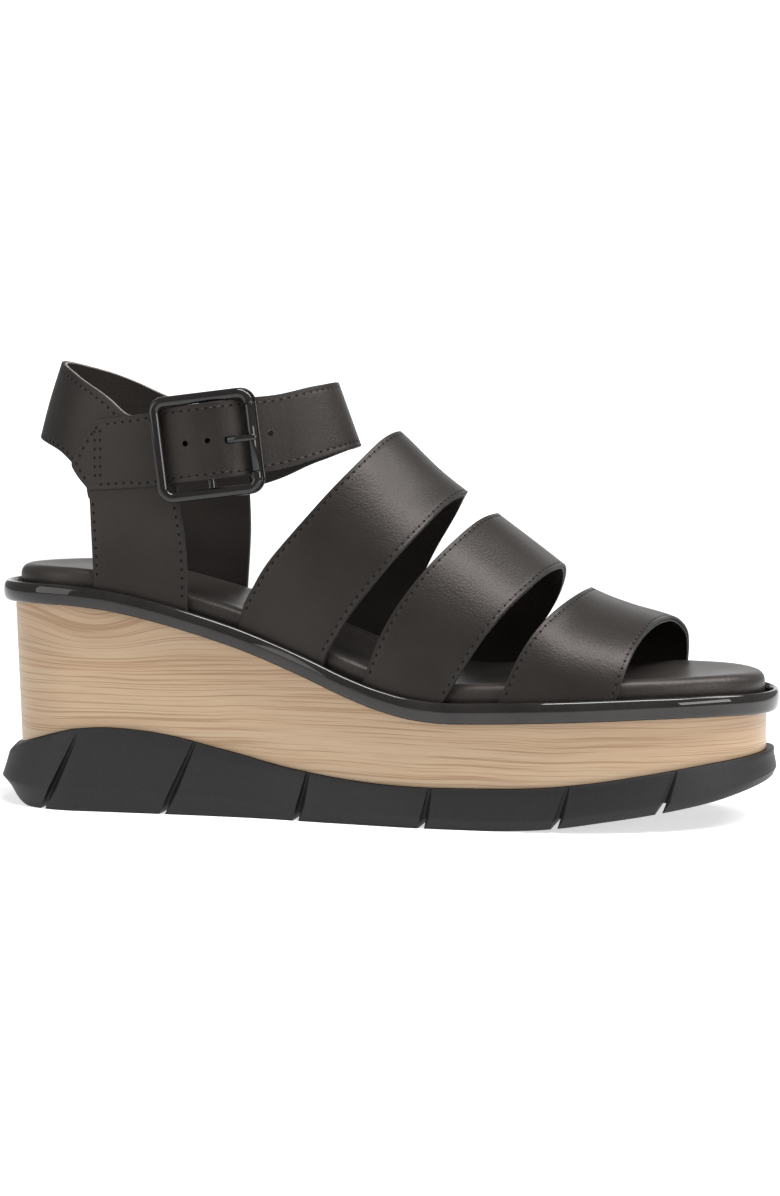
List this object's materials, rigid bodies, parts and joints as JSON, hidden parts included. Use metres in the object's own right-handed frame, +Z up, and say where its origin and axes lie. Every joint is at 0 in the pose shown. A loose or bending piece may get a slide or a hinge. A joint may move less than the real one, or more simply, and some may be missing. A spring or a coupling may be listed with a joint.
{
  "type": "wedge sandal",
  "caption": "Right-foot wedge sandal with wide leather straps over an open toe, a heel sling, and an ankle strap closed by a roller buckle with a hinged prong.",
  "frame": {"origin": "bottom centre of the bounding box, on the ground", "axes": "+X towards the toe, +Y towards the inner side of the foot, +Z up; the buckle is on the outer side, -Y"},
  "size_m": [0.265, 0.0916, 0.1501],
  "materials": {
    "upper_leather": "smooth, satin",
    "lining_leather": "suede-backed lining, matt",
    "sock_leather": "smooth, satin",
    "welt": "patent gloss",
    "wedge": "fine-grained wood look, satin varnish",
    "outsole": "moulded rubber, matt",
    "cork": "pressed cork filler",
    "fibreboard": "cellulose insole board",
    "foam": "open-cell foam",
    "buckle_enamel": "glossy black enamel"
  },
  "bodies": {
    "sandal": {"outsole": "outsole", "wedge": "wedge", "welt": "welt", "bottom_filler": "cork", "insole_board": "fibreboard", "footbed_foam": "foam", "footbed_cover": "sock_leather", "toe_strap": "upper_leather", "mid_strap": "upper_leather", "instep_strap": "upper_leather", "quarter": "upper_leather", "buckle_strap": "upper_leather", "ankle_strap": "upper_leather", "toe_lining": "lining_leather", "mid_lining": "lining_leather", "instep_lining": "lining_leather", "quarter_lining": "lining_leather", "ankle_strap_lining": "lining_leather", "buckle_frame": "buckle_enamel"},
    "prong": {"buckle_prong": "buckle_enamel"},
    "roller": {"buckle_roller": "buckle_enamel"}
  },
  "joints": [
    {"name": "prong_pivot", "type": "hinge", "parent": "sandal", "child": "prong", "pos_m": [-0.05056, -0.03157, 0.12265], "axis": [0.1222, -0.0022, -0.9925], "range_deg": [0, 4]},
    {"name": "roller_spin", "type": "hinge", "parent": "sandal", "child": "roller", "pos_m": [-0.03525, -0.03204, 0.12453], "axis": [-0.1222, 0.0022, 0.9925], "continuous": true}
  ]
}
